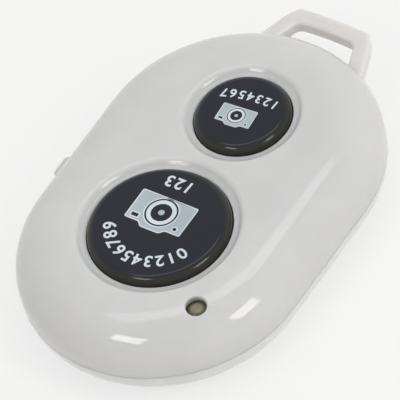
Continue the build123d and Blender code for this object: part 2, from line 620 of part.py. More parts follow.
def slide_switch():
    """The slide switch at the board's edge, with its lever in the fork of the knob's arm."""
    outer, inner = SLIDE_CASE_X
    length = (POWER_Y - SLIDE_CASE_LENGTH / 2, POWER_Y + SLIDE_CASE_LENGTH / 2)
    base = block((outer, inner), length, (BOARD_TOP, SLIDE_BASE_TOP))
    case = block((outer, inner), length, (SLIDE_BASE_TOP, SLIDE_CASE_TOP))
    case -= block((outer + SLIDE_SHEET, inner - SLIDE_SHEET),
                  (length[0] + SLIDE_SHEET, length[1] - SLIDE_SHEET),
                  (SLIDE_BASE_TOP, SLIDE_CEILING))
    slot_half = (LEVER_WIDTH + POWER_TRAVEL) / 2 + SLIDE_GAP
    case -= block((outer, outer + SLIDE_SHEET), (POWER_Y - slot_half, POWER_Y + slot_half),
                  (SLIDE_BASE_TOP, SLIDE_CEILING))
    middle = (outer + inner) / 2
    lever = block((middle - LEVER_BLOCK_WIDTH / 2, middle + LEVER_BLOCK_WIDTH / 2),
                  (KNOB_REST_Y - LEVER_BLOCK_LENGTH / 2, KNOB_REST_Y + LEVER_BLOCK_LENGTH / 2),
                  (SLIDE_BASE_TOP + FIT_GAP, SLIDE_CEILING - FIT_GAP))
    lever += block((ARM_X[0] + FIT_GAP, middle),
                   (KNOB_REST_Y - LEVER_WIDTH / 2, KNOB_REST_Y + LEVER_WIDTH / 2),
                   (LEVER_Z - LEVER_THICKNESS / 2, LEVER_TOP))
    width, depth, height = SLIDE_TERMINAL
    terminals = []
    for place in (-1.5, -0.5, 0.5, 1.5):
        y = POWER_Y + place * SLIDE_TERMINAL_SPACING
        terminals.append(block((inner, inner + depth), (y - width / 2, y + width / 2),
                               (BOARD_TOP, BOARD_TOP + height)))
    return {
        "slide_switch_base": one_solid(base),
        "slide_switch_case": one_solid(case),
        "slide_switch_lever": one_solid(lever),
        "slide_switch_terminals": Compound(children=terminals),
    }


# Status light
def led_lens():
    """A light pipe with a domed tip, a stem and a flange under its boss."""
    tip = outer_height(LIGHT_DISTANCE) - LIGHT_RECESS
    stem = disc(LIGHT_PIPE_RADIUS, LIGHT_PIPE_BOTTOM, tip, LIGHT_X, LIGHT_Y)
    stem = fillet(stem.edges().group_by(Axis.Z)[-1], LIGHT_PIPE_RADIUS / 2)
    flange = disc(LIGHT_FLANGE_RADIUS, LIGHT_PIPE_BOTTOM, LIGHT_BOSS_BOTTOM, LIGHT_X, LIGHT_Y)
    return one_solid(stem + flange)


# Circuit board and what is soldered on it
def circuit_board():
    board = stadium(BOARD_HALF_WIDTH, BOARD_BOTTOM, BOARD_TOP)
    for side in (-1, 1):
        board -= disc(BOSS_RADIUS + BOARD_HOLE_GAP, BOARD_BOTTOM, BOARD_TOP, side * SCREW_X, SCREW_Y)
    notch_half = SNAP_WIDTH / 2 + PART_GAP
    board -= block((-notch_half, notch_half), (-FAR, SNAP_Y + SNAP_THICKNESS + PART_GAP),
                   (BOARD_BOTTOM, BOARD_TOP))
    arm_path = (LEVER_WIDTH + POWER_TRAVEL) / 2 + KNOB_ARM_WALL + PART_GAP
    board -= block((-FAR, SLIDE_CASE_X[0] - SLIDE_GAP), (POWER_Y - arm_path, POWER_Y + arm_path),
                   (BOARD_BOTTOM, BOARD_TOP))
    return one_solid(board)


def antenna_trace():
    """A meander of foil at the loop end of the board."""
    half_width = ANTENNA_TURNS * ANTENNA_PITCH
    points = [(-half_width, ANTENNA_Y - ANTENNA_HEIGHT / 2)]
    for turn in range(2 * ANTENNA_TURNS + 1):
        x = -half_width + turn * ANTENNA_PITCH
        start, end = (-1, 1) if turn % 2 == 0 else (1, -1)
        points += [(x, ANTENNA_Y + start * ANTENNA_HEIGHT / 2), (x, ANTENNA_Y + end * ANTENNA_HEIGHT / 2)]
    track = trace(Polyline(*points[1:]), ANTENNA_TRACK)
    return one_solid(Pos(0, 0, BOARD_TOP) * extrude(track, ANTENNA_FOIL))


def component(size, x, y):
    """A small part that stands on the board."""
    length, width, height = size
    return block((x - length / 2, x + length / 2), (y - width / 2, y + width / 2),
                 (BOARD_TOP, BOARD_TOP + height))


def memory_chip():
    """A flat package with four legs along each long side."""
    x, y = MEMORY_PLACE
    length, width, height = MEMORY_LEG
    chip = component(MEMORY_CHIP, x, y)
    for side in (-1, 1):
        for place in (-1.5, -0.5, 0.5, 1.5):
            leg_y = y + side * (MEMORY_CHIP[1] + width) / 2
            chip += component(MEMORY_LEG, x + place * MEMORY_LEG_PITCH, leg_y)
    return one_solid(chip)


def crystal():
    """A clock crystal: a ceramic body under a smaller metal lid."""
    x, y = CRYSTAL_PLACE
    lid = Pos(0, 0, CRYSTAL[2]) * component(CRYSTAL_LID, x, y)
    return one_solid(component(CRYSTAL, x, y) + lid)


def component_group(places):
    """Chip components of one kind, as separate solids."""
    return Compound(children=[component(CHIP_COMPONENT, x, y) for x, y in places])


def case_screws():
    """The two self-tapping screws that hold the shells together."""
    screws = []
    for side in (-1, 1):
        x = side * SCREW_X
        head_bottom = SCREW_SEAT - SCREW_HEAD_HEIGHT
        screw = disc(SCREW_HEAD_RADIUS, head_bottom, SCREW_SEAT, x, SCREW_Y)
        screw += disc(SCREW_RADIUS, SCREW_SEAT, SCREW_TIP, x, SCREW_Y)
        slot = block((-SCREW_HEAD_RADIUS / 2, SCREW_HEAD_RADIUS / 2), (-SCREW_SLOT / 2, SCREW_SLOT / 2),
                     (head_bottom, head_bottom + SCREW_SLOT_DEPTH))
        screw -= Pos(x, SCREW_Y, 0) * (slot + Rot(0, 0, 90) * slot)
        screws.append(one_solid(screw))
    return Compound(children=screws)


pieces = {
    "front_shell": front_shell(),
    "rear_shell": rear_shell(),
    "battery_door": battery_door(),
    "power_switch_knob": power_switch_knob(),
    "led_lens": led_lens(),
    "circuit_board": circuit_board(),
    "antenna_trace": antenna_trace(),
    "led_chip": component(LIGHT_CHIP, LIGHT_X, LIGHT_Y),
    "bluetooth_chip": component(BLUETOOTH_CHIP, *BLUETOOTH_PLACE),
    "memory_chip": memory_chip(),
    "crystal": crystal(),
    "chip_capacitors": component_group(CAPACITOR_PLACES),
    "chip_resistors": component_group(RESISTOR_PLACES + LIGHT_RESISTOR_PLACES),
    "negative_contact": negative_contact(),
    "positive_contact": positive_contact(),
    "case_screws": case_screws(),
}
for button in BUTTONS:
    pieces[f"{button.name}_button_cap"] = button_cap(button)
    pieces.update(tactile_switch(button))
pieces.update(slide_switch())
pieces.update(coin_cell())

os.makedirs("parts", exist_ok=True)
for name, shape in pieces.items():
    shape.label = name
    export_step(shape, f"parts/{name}.step")
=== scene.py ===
"""A pocket shutter remote, dressed for a soft white studio: glossy white shells with two dishes and a
lanyard loop, two printed push buttons over their snap domes, a status light, a power knob at the side
and a sliding battery door."""

import json
import math

import bpy
from bpy.props import FloatProperty, FloatVectorProperty, IntProperty, PointerProperty
from mathutils import Matrix, Vector


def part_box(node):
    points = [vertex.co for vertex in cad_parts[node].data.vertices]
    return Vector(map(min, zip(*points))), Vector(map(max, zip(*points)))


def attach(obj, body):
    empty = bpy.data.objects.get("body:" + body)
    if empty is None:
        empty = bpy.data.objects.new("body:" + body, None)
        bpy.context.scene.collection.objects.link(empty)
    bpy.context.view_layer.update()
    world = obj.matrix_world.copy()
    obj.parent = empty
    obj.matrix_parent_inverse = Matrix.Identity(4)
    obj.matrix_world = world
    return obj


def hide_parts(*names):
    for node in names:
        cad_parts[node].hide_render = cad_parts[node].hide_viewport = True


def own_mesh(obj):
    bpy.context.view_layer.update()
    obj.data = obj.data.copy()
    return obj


bl_info = {
    "name": "Pocket shutter remote",
    "version": (1, 0, 0),
    "blender": (4, 5, 0),
    "location": "3D View > Sidebar > Remote",
    "description": "Builds the dressed model of a pocket shutter remote around its packed frame",
    "category": "Object",
}

MM = 0.001
HALF_TURN = math.pi
FULL_TURN = 2 * math.pi
UP = Vector((0, 0, 1))


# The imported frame, whose nodes give the sizes and places that the new pieces keep
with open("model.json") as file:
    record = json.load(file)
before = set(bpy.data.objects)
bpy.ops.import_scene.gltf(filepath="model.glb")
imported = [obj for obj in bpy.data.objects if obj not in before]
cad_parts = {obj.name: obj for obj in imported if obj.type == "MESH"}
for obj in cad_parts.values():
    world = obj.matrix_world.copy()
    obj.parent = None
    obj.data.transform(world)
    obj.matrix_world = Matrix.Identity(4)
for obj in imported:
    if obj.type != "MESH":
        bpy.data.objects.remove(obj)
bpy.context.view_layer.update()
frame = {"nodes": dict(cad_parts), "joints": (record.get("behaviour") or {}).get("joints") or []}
NODES = frame["nodes"]
SLOTS = {name: node.material_slots[0].material.name for name, node in NODES.items()}


def middle_of(node):
    """The point halfway between a node's lowest and highest corner."""
    low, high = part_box(node)
    return (low + high) / 2


def joint_travel(name):
    """How far a sliding joint goes."""
    return next(joint for joint in frame["joints"] if joint["name"] == name)["range_m"][1]


FRONT_LOW, FRONT_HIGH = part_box("front_shell")
HALF_WIDTH = FRONT_HIGH.x
HEIGHT = FRONT_HIGH.z
PARTING = FRONT_LOW.z
HOUSING_END = -FRONT_LOW.y
END_CENTRE = HOUSING_END - HALF_WIDTH
LOOP_TIP = FRONT_HIGH.y
LIGHT = middle_of("led_lens")
CAPS = {"large": "large_button_cap", "small": "small_button_cap"}
# The rear shell and its door take a paler copy of the shell's white, which paints the light bounced up
# from the floor onto the lower band
PAINTED_BOUNCE_NODES = ("rear_shell", "battery_door")

# Lengths that count as none, where doubles are merged and where places are compared
MERGED = 0.001 * MM
CLOSE = 0.01 * MM

# How many straight pieces each curve is divided into
FEWEST_STEPS = 8
SHOULDER_STEPS = 28
INNER_SHOULDER_STEPS = 16
SEAM_EDGE_STEPS = 4
DISH_STEPS = 8
HOLE_EDGE_STEPS = 5
LOOP_BOW_STEPS = 12
LOOP_CORNER_STEPS = 8
LOOP_EDGE_STEPS = 5
LIGHT_LIP_STEPS = 8
LIGHT_DOME_STEPS = 16
CAP_ROLL_STEPS = 16
SNAP_DOME_STEPS = 20
LENS_STEPS = 64
GLINT_STEPS = 32
DOT_STEPS = 24
SIGN_CORNER_STEPS = 3


# Settings that a user would change
def length(label, text, value):
    """A size in millimetres, kept by Blender in metres."""
    return FloatProperty(name=label, description=text, default=value * MM, unit="LENGTH", precision=5)


def tint(label, text, value):
    """A colour for a finish."""
    return FloatVectorProperty(
        name=label, description=text, default=value, size=3, subtype="COLOR", min=0, max=1)


def level(label, text, value):
    """A strength of light, where one shows as white."""
    return FloatProperty(name=label, description=text, default=value, min=0)


def face_count(label, text, value):
    """How many faces a round form has."""
    return IntProperty(name=label, description=text, default=value, min=FEWEST_STEPS)


class ShellSettings(bpy.types.PropertyGroup):
    """Sizes and colours of the moulded shells"""
    wall: length("Wall", "Thickness of the moulded shells", 1.3)
    front_round: length("Front shoulder", "How far the front shoulder reaches in from the side", 6.5)
    side_band: length("Side band", "Height of the upright band above the parting line", 1.0)
    seam_depth: length("Seam depth", "How deep the parting line is", 0.05)
    seam_height: length("Seam height", "Height of the front shell's half of the parting line", 0.02)
    seam_edge: length("Seam edge", "Radius on the front shell's edge at the parting line", 0.05)
    hole_edge: length("Hole edge", "Radius at the mouth of the buttons' holes", 0.12)
    dish_depth: length("Dish depth", "How deep the buttons' dishes are", 0.6)
    dish_lip: length("Dish lip", "Width of the soft slope round each button's hole", 1.6)
    colour: tint("Front colour", "White plastic of the front shell and the knob", (0.6, 0.6, 0.595))
    # The rear's paler white is painted light: the shell's plastic made paler to stand in for light
    # bounced up from the floor
    rear_painted_bounce: tint("Rear colour", "Whiter plastic of the rear shell and its door", (0.68, 0.68, 0.67))
    # The loop's paler, warmer white is painted light: the shell's plastic made paler to stand in for
    # light glowing through the thin loop
    loop_painted_glow: tint("Loop colour", "Warmer white of the thin loop", (0.655, 0.643, 0.634))


class LoopSettings(bpy.types.PropertyGroup):
    """Sizes of the lanyard loop"""
    thickness: length("Thickness", "Height of the lanyard loop", 1.8)
    bar: length("Bar", "Width of the loop's bar", 2.05)
    leg: length("Leg", "Width of the loop's legs", 2.1)
    edge: length("Edge", "Radius on the loop's edges", 0.45)
    corner: length("Corner", "Size of the loop's rounded outer corners", 2.3)
    window_corner: length("Window corner", "Size of the window's rounded corners", 0.7)
    bow: length("Bow", "How far the bar bows out", 0.2)
    tip_half_width: length("Tip", "Half the loop's width at its bar", 5.2)
    root_half_width: length("Root", "Half the loop's width in the shell", 7.25)
    root_depth: length("Root depth", "How far the legs reach into the shell's wall", 1.63)


class LightSettings(bpy.types.PropertyGroup):
    """Sizes and colours of the status light"""
    hole: length("Hole", "Radius of the light's hole", 1.175)
    lip: length("Lip", "Radius of the soft lip round the light's hole", 0.35)
    pipe: length("Light pipe", "Radius of the light pipe", 1.12)
    dome: length("Dome", "Height of the light pipe's dome", 0.5)
    flange: length("Flange", "Thickness of the light pipe's flange", 0.6)
    recess: length("Recess", "How deep the light pipe stands in its hole", 0.35)
    colour: tint("Lens colour", "Smoked middle of the light pipe", (0.19, 0.175, 0.11))
    # The darker olive edge is painted shade round the light pipe's dome, laid on by how far up its
    # surface faces
    edge_painted_shade: tint("Lens edge", "Darker olive round the light pipe's edge", (0.085, 0.08, 0.045))


class KnobSettings(bpy.types.PropertyGroup):
    """Sizes of the power knob's slot"""
    span: length("Length", "Length of the knob at the shell", 4.2)
    height: length("Height", "Height of the knob", 2.0)
    middle: length("Middle", "How high the knob's middle stands", 5.1)
    gap: length("Gap", "Clearance between the knob and its slot", 0.1)
    depth: length("Depth", "How deep the knob's slot goes", 2.0)


class ButtonSettings(bpy.types.PropertyGroup):
    """Sizes and colours of the push buttons and their printed marks"""
    roll: length("Roll", "Radius of the cap's rolled edge", 1.1)
    wall: length("Wall", "Thickness of the cap", 1.1)
    flange: length("Flange", "Width of the flange under the shell", 0.6)
    flange_height: length("Flange height", "Thickness of the flange under the shell", 0.6)
    flange_drop: length("Flange drop", "Room between the flange and the shell above it", 0.45)
    gap: length("Gap", "Clearance between the cap and its hole", 0.1)
    ink_thickness: length("Ink thickness", "Thickness of the printed marks", 0.02)
    dome_sheet: length("Dome sheet", "Thickness of the snap domes under the caps", 0.08)
    colour: tint("Cap colour", "Blue-black of the caps' faces", (0.0065, 0.0092, 0.0158))
    # The caps' olive rolled edge is a painted reflection, laid on by how far up the cap's surface faces
    rim_painted_light: tint("Rim colour", "Olive black of the caps' rolled edges", (0.017, 0.0165, 0.01))
    ink: tint("Ink colour", "Pale ink of the numerals and outlines", (0.6, 0.66, 0.7))
    ink_fill: tint("Ink fill", "Greyer ink inside the signs", (0.38, 0.44, 0.48))


class StudioSettings(bpy.types.PropertyGroup):
    """Strengths of the studio's light"""
    surround: level("Surround", "Strength of the white surround", 0.745)
    slant: level("Slant", "How much brighter the surround is on one side, as a share", 0.4)
    background: level("Background", "How pale the floor and the surround look", 0.905)
    near_lamp: level("Near lamp", "Strength of the lamp over the end with the status light", 5.29)
    side_lamp: level("Side lamp", "Strength of the lamp on the side away from the knob", 4.6)
    overhead_strip: level("Overhead strip", "Strength of the long lamp overhead", 1.3)


class RemoteSettings(bpy.types.PropertyGroup):
    """All settings of the remote"""
    shell: PointerProperty(type=ShellSettings, name="Shells", description="The moulded shells")
    loop: PointerProperty(type=LoopSettings, name="Loop", description="The lanyard loop")
    light: PointerProperty(type=LightSettings, name="Light", description="The status light")
    knob: PointerProperty(type=KnobSettings, name="Knob", description="The power knob")
    button: PointerProperty(type=ButtonSettings, name="Buttons", description="The push buttons")
    studio: PointerProperty(type=StudioSettings, name="Studio", description="Light and background")
    round_steps: face_count("Round steps", "Faces around each end of the shell and each round piece", 96)
    cap_steps: face_count("Cap steps", "Faces around each cap and its dish", 192)


# Modelling helpers
def near(value, target, within=CLOSE):
    """Whether two lengths are the same, but for a length that counts as none."""
    return abs(value - target) < within


def select_none():
    """Object mode with nothing selected, which every operator here expects."""
    if bpy.context.object and bpy.context.object.mode != "OBJECT":
        bpy.ops.object.mode_set(mode="OBJECT")
    bpy.ops.object.select_all(action="DESELECT")


def select_only(piece):
    """Object mode with one piece active and nothing else selected."""
    select_none()
    bpy.context.view_layer.objects.active = piece
    piece.select_set(True)


def edit(piece, kind="VERT"):
    """Edit mode on one piece with all of it selected."""
    select_only(piece)
    bpy.ops.object.mode_set(mode="EDIT")
    bpy.ops.mesh.select_mode(type=kind)
    bpy.ops.mesh.select_all(action="SELECT")


def leave():
    bpy.ops.object.mode_set(mode="OBJECT")


def extrude(step):
    """What is selected in edit mode is drawn out by one step."""
    bpy.ops.mesh.extrude_region_move(TRANSFORM_OT_translate={"value": step})


def chain(name, points, closed=False):
    """Edges through points, drawn by extruding one vertex along them."""
    select_none()
    bpy.ops.mesh.primitive_plane_add(size=MM, location=points[0])
    piece = bpy.context.object
    piece.name = name
    bpy.ops.object.transform_apply(location=True, rotation=False, scale=False)
    edit(piece)
    bpy.ops.mesh.merge(type="CENTER")
    for start, end in zip(points, points[1:]):
        extrude(Vector(end) - Vector(start))
    if closed:
        bpy.ops.mesh.select_all(action="SELECT")
        bpy.ops.mesh.edge_face_add()
    leave()
    return piece


def merge_and_turn_out(piece):
    """Doubles merged and faces pointing outwards."""
    edit(piece)
    bpy.ops.mesh.remove_doubles(threshold=MERGED)
    bpy.ops.mesh.normals_make_consistent(inside=False)
    leave()


def in_plane(profile, x, y):
    """Radius and height pairs as points in the XZ plane, about an upright axis at x and y."""
    return [Vector((x + radius, y, height)) for radius, height in profile]


def turned(name, profile, x, y, steps):
    """A solid of revolution from radius and height pairs that start and end on the axis."""
    piece = chain(name, in_plane(profile, x, y))
    edit(piece)
    bpy.ops.mesh.spin(steps=steps, angle=FULL_TURN, center=(x, y, 0), axis=UP)
    leave()
    merge_and_turn_out(piece)
    return piece


def arc(centre, radii, start, end, steps):
    """Radius and height pairs along an elliptical arc, from start to end in degrees."""
    points = []
    for step in range(steps + 1):
        angle = math.radians(start + (end - start) * step / steps)
        points.append((centre[0] + radii[0] * math.cos(angle), centre[1] + radii[1] * math.sin(angle)))
    return points


def select_edges(piece, wanted):
    """Only the edges whose two ends meet a test are selected, in edit mode."""
    edit(piece, "EDGE")
    bpy.ops.mesh.select_all(action="DESELECT")
    leave()
    mesh = piece.data
    for edge in mesh.edges:
        ends = [mesh.vertices[v].co for v in edge.vertices]
        edge.select = wanted(*ends)
    bpy.ops.object.mode_set(mode="EDIT")


def select_vertices(piece, wanted):
    """Only the vertices whose place meets a test are selected, in edit mode."""
    edit(piece)
    bpy.ops.mesh.select_all(action="DESELECT")
    leave()
    for vertex in piece.data.vertices:
        vertex.select = wanted(vertex.co)
    bpy.ops.object.mode_set(mode="EDIT")


def fill_loop(piece, height):
    """A flat face across the open loop at one height."""
    select_edges(piece, lambda a, b: near(a.z, height, MERGED) and near(b.z, height, MERGED))
    bpy.ops.mesh.edge_face_add()
    leave()


def stadium_skin(name, profile, steps):
    """A profile swept along both straight sides and turned about both end centres."""
    piece = chain(name, in_plane(profile, 0, -END_CENTRE))
    edit(piece)
    for end in (END_CENTRE, -END_CENTRE):
        extrude((0, 2 * end, 0))
        bpy.ops.mesh.spin(steps=steps, angle=-HALF_TURN, center=(0, end, 0), axis=UP)
    leave()
    return piece


def block(name, low, high):
    """A box between its lowest and highest corner, used to cut a slot or a window."""
    select_none()
    low, high = Vector(low), Vector(high)
    bpy.ops.mesh.primitive_cube_add(size=1, location=(low + high) / 2)
    piece = bpy.context.object
    piece.name = name
    piece.dimensions = high - low
    bpy.ops.object.transform_apply(location=True, rotation=False, scale=True)
    return piece


def disc(name, radius, place, depth, steps=LENS_STEPS):
    """A round plate, used to cut a sign or as ink."""
    select_none()
    bpy.ops.mesh.primitive_cylinder_add(vertices=steps, radius=radius, depth=depth, location=place)
    piece = bpy.context.object
    piece.name = name
    bpy.ops.object.transform_apply(location=True, rotation=False, scale=False)
    return piece


def apply_boolean(piece, other, operation):
    """Joins another piece to this one, or cuts it away, and removes it."""
    select_only(piece)
    modifier = piece.modifiers.new("combine", "BOOLEAN")
    modifier.object = other
    modifier.operation = operation
    modifier.solver = "EXACT"
    bpy.ops.object.modifier_apply(modifier=modifier.name)
    bpy.data.objects.remove(other)


def cut(piece, cutter):
    apply_boolean(piece, cutter, "DIFFERENCE")


def join(piece, other):
    apply_boolean(piece, other, "UNION")


SHARP_ANGLE = math.radians(30)
FACE_AREA_WEIGHT = 100


def smooth(piece):
    """Smooth faces that stay sharp at real edges, with large flats kept flat."""
    select_only(piece)
    bpy.ops.object.shade_smooth_by_angle(angle=SHARP_ANGLE, keep_sharp_edges=True)
    modifier = piece.modifiers.new("flat faces stay flat", "WEIGHTED_NORMAL")
    modifier.keep_sharp = True
    modifier.weight = FACE_AREA_WEIGHT
    bpy.ops.object.modifier_apply(modifier=modifier.name)


def finish(piece, body, slot, node):
    """The piece rides on its body in its slot's finish, in place of the node it stands for."""
    piece.data.materials.clear()
    piece.data.materials.append(FINISHES[slot])
    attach(piece, body)
    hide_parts(node)


# Finishes, by name: the first operator fills them in
FINISHES = {}
INKS = ("print_ink", "ink_fill")
ROUGHNESS = {
    "white_shell": 0.07,
    "white_rear_painted_bounce": 0.1,
    "white_loop_painted_glow": 0.1,
    "white_knob": 0.2,
    "black_cap": 0.12,
    "smoked_lens": 0.1,
    "print_ink": 0.35,
    "ink_fill": 0.35,
}

# Colour, roughness and grain of the plastics inside
MATT_FINISHES = {
    "light_package": ((0.72, 0.68, 0.5), 0.4, 0.02),
    "board_green": ((0.02, 0.16, 0.06), 0.3, 0.05),
    "chip_black": ((0.02, 0.02, 0.02), 0.5, 0.1),
    "ceramic_tan": ((0.45, 0.32, 0.2), 0.5, 0.05),
    "gasket_plastic": ((0.1, 0.1, 0.1), 0.5, 0.05),
    "switch_plastic": ((0.03, 0.03, 0.03), 0.4, 0.05),
}

# Colour and roughness of the metals
METAL_FINISHES = {
    "copper": ((0.8, 0.4, 0.2), 0.3),
    "steel": ((0.6, 0.6, 0.6), 0.3),
    "spring_brass": ((0.75, 0.6, 0.3), 0.3),
    "screw_steel": ((0.5, 0.5, 0.52), 0.35),
}

# How strongly a finish with a painted rim shines, and how far up its surface faces where the painted
# light at its rim begins
SPECULAR = {"black_cap": 0.33, "smoked_lens": 0.5}
PAINTED_RIM_FACING = {"black_cap": (0.75, 0.98), "smoked_lens": (0.9, 0.985)}

# Scale and detail of each noise, and how much each makes a surface vary
CLOUD = (160, 3)
GRAIN = (2600, 2)
BRUSHED_LINES = (5000, 3)
BRUSHED_STRETCH = (1, 0.03, 1)
BRUSHED_COLOURS = (0.94, 1.05)
NOISE_RANGE = (0.3, 0.7)
NOISE_COLOUR_RANGE = (0.35, 0.65)
MOTTLE = 0.02
INK_MOTTLE = 0.05
MOULD_GRAIN = 0.01
GRAIN_DEPTH = 0.05 * MM
UNEVEN_POLISH = 0.15

# How light spreads in the white plastic
SPREAD_WEIGHT = 0.6
SPREAD_COLOURS = (1, 0.8, 0.7)
SPREAD_DEPTH = 1.8 * MM


def new_material(name):
    """A node material with its nodes, its links and its shader."""
    material = bpy.data.materials.new(name)
    material.use_nodes = True
    nodes = material.node_tree.nodes
    return material, nodes, material.node_tree.links, nodes["Principled BSDF"]


def add_noise(nodes, links, scale_and_detail, stretch=(1, 1, 1)):
    """Noise on the piece's own coordinates, drawn out along an axis where its stretch is small."""
    coordinates = nodes.new("ShaderNodeTexCoord")
    mapping = nodes.new("ShaderNodeMapping")
    mapping.inputs["Scale"].default_value = stretch
    noise = nodes.new("ShaderNodeTexNoise")
    noise.inputs["Scale"].default_value, noise.inputs["Detail"].default_value = scale_and_detail
    links.new(coordinates.outputs["Object"], mapping.inputs["Vector"])
    links.new(mapping.outputs["Vector"], noise.inputs["Vector"])
    return noise


def vary_roughness(nodes, links, source, shader, roughness):
    """A roughness that follows a noise to both sides of its middle value."""
    spread = nodes.new("ShaderNodeMapRange")
    spread.inputs["From Min"].default_value, spread.inputs["From Max"].default_value = NOISE_RANGE
    spread.inputs["To Min"].default_value = roughness * (1 - UNEVEN_POLISH)
    spread.inputs["To Max"].default_value = roughness * (1 + UNEVEN_POLISH)
    links.new(source.outputs["Fac"], spread.inputs["Value"])
    links.new(spread.outputs["Result"], shader.inputs["Roughness"])


def vary_colour(nodes, links, source, shader, colour, factors):
    """A colour that follows a noise between its darker and its paler shade."""
    ramp = nodes.new("ShaderNodeValToRGB")
    for stop, position, factor in zip(ramp.color_ramp.elements, NOISE_COLOUR_RANGE, factors):
        stop.position = position
        stop.color = (*(channel * factor for channel in colour), 1)
    links.new(source.outputs["Fac"], ramp.inputs["Fac"])
    links.new(ramp.outputs["Color"], shader.inputs["Base Color"])


def brushed_metal(name, colour, roughness):
    """Metal with fine lines from its rolling and an uneven shine."""
    material, nodes, links, shader = new_material(name)
    shader.inputs["Metallic"].default_value = 1
    lines = add_noise(nodes, links, BRUSHED_LINES, BRUSHED_STRETCH)
    vary_colour(nodes, links, lines, shader, colour, BRUSHED_COLOURS)
    vary_roughness(nodes, links, lines, shader, roughness)
    return material


def moulded_plastic(name, colour, roughness, mottle=MOTTLE, grain=MOULD_GRAIN):
    """Moulded plastic: a faint mottle, an uneven polish and the fine grain of its mould."""
    material, nodes, links, shader = new_material(name)
    cloud = add_noise(nodes, links, CLOUD)
    vary_colour(nodes, links, cloud, shader, colour, (1 - mottle, 1 + mottle))
    vary_roughness(nodes, links, cloud, shader, roughness)
    bump = nodes.new("ShaderNodeBump")
    bump.inputs["Strength"].default_value = grain
    bump.inputs["Distance"].default_value = GRAIN_DEPTH
    links.new(add_noise(nodes, links, GRAIN).outputs["Fac"], bump.inputs["Height"])
    links.new(bump.outputs["Normal"], shader.inputs["Normal"])
    return material


def white_plastic(name, colour):
    """White plastic that lets a little light through, so thin walls and edges glow warm."""
    material = moulded_plastic(name, colour, ROUGHNESS[name])
    shader = material.node_tree.nodes["Principled BSDF"]
    shader.inputs["Subsurface Weight"].default_value = SPREAD_WEIGHT
    shader.inputs["Subsurface Radius"].default_value = SPREAD_COLOURS
    shader.inputs["Subsurface Scale"].default_value = SPREAD_DEPTH
    return material


def plastic_with_painted_rim(name, face_colour, rim_painted_light):
    """Glossy plastic with painted light at its rim: where its face rolls over to its edge, a second
    colour set by how far up the surface faces stands in for the reflection on the caps and the shade
    round the light pipe.
    """
    material = moulded_plastic(name, face_colour, ROUGHNESS[name])
    nodes, links = material.node_tree.nodes, material.node_tree.links
    shader = nodes["Principled BSDF"]
    shader.inputs["Specular IOR Level"].default_value = SPECULAR[name]
    coordinates = nodes.new("ShaderNodeTexCoord")
    parts = nodes.new("ShaderNodeSeparateXYZ")
    painted_rim_mask = nodes.new("ShaderNodeMapRange")
    painted_rim_mask.inputs["From Min"].default_value, painted_rim_mask.inputs["From Max"].default_value = PAINTED_RIM_FACING[name]
    mix = nodes.new("ShaderNodeMix")
    mix.data_type = "RGBA"
    mix.inputs["A"].default_value = (*rim_painted_light, 1)
    links.new(coordinates.outputs["Normal"], parts.inputs[0])
    links.new(parts.outputs["Z"], painted_rim_mask.inputs["Value"])
    links.new(painted_rim_mask.outputs["Result"], mix.inputs["Factor"])
    links.new(shader.inputs["Base Color"].links[0].from_socket, mix.inputs["B"])
    links.new(mix.outputs["Result"], shader.inputs["Base Color"])
    return material


class REMOTE_OT_finishes(bpy.types.Operator):
    """Makes the finishes and gives them to the frame's own nodes"""
    bl_idname = "remote.finishes"
    bl_label = "Finishes"

    def execute(self, context):
        settings = context.scene.remote
        shell, button, light = settings.shell, settings.button, settings.light
        FINISHES["white_shell"] = white_plastic("white_shell", shell.colour)
        # The rear's paler white paints light bounced up from the floor
        FINISHES["white_rear_painted_bounce"] = white_plastic("white_rear_painted_bounce", shell.rear_painted_bounce)
        # The loop's warmer white paints light glowing through the thin loop
        FINISHES["white_loop_painted_glow"] = white_plastic("white_loop_painted_glow", shell.loop_painted_glow)
        FINISHES["white_knob"] = moulded_plastic("white_knob", shell.colour, ROUGHNESS["white_knob"])
        # The caps' olive rim is a painted reflection
        FINISHES["black_cap"] = plastic_with_painted_rim("black_cap", button.colour, button.rim_painted_light)
        # The light pipe's dark olive edge is painted shade
        FINISHES["smoked_lens"] = plastic_with_painted_rim("smoked_lens", light.colour, light.edge_painted_shade)
        for name, colour in zip(INKS, (button.ink, button.ink_fill)):
            FINISHES[name] = moulded_plastic(name, colour, ROUGHNESS[name], mottle=INK_MOTTLE)
        for name, (colour, roughness, grain) in MATT_FINISHES.items():
            FINISHES[name] = moulded_plastic(name, colour, roughness, grain=grain)
        for name, (colour, roughness) in METAL_FINISHES.items():
            FINISHES[name] = brushed_metal(name, colour, roughness)
        for name, node in NODES.items():
            finish_name = "white_rear_painted_bounce" if name in PAINTED_BOUNCE_NODES else SLOTS[name]
            node.material_slots[0].material = FINISHES[finish_name]
        return {"FINISHED"}


# Front shell

# How deep the light's hole is cut, in its own radii
LIGHT_HOLE_DEPTH = 3

# How far outside the shell's outline the loop's painted glow starts
LOOP_GLOW_START = 0.05 * MM


def front_profile(shell):
    """The front shell's section, from the plateau's edge down to the parting line and up inside."""
    band_top = PARTING + shell.side_band
    flat = HALF_WIDTH - shell.front_round
    drop = HEIGHT - band_top
    seam_radius = HALF_WIDTH - shell.seam_depth
    seam_top = PARTING + shell.seam_height
    edge = shell.seam_edge
    inner = HALF_WIDTH - shell.wall
    groove = inner + shell.wall / 2
    groove_top = PARTING + shell.wall / 2
    profile = arc((flat, band_top), (shell.front_round, drop), 90, 0, SHOULDER_STEPS)
    profile += arc((HALF_WIDTH - edge, seam_top + edge), (edge, edge), 0, -90, SEAM_EDGE_STEPS)
    profile += [(seam_radius, seam_top), (seam_radius, PARTING), (groove, PARTING)]
    profile += [(groove, groove_top), (inner, groove_top)]
    inner_radii = (shell.front_round - shell.wall, drop - shell.wall)
    profile += arc((flat, band_top), inner_radii, 0, 90, INNER_SHOULDER_STEPS)
    return profile


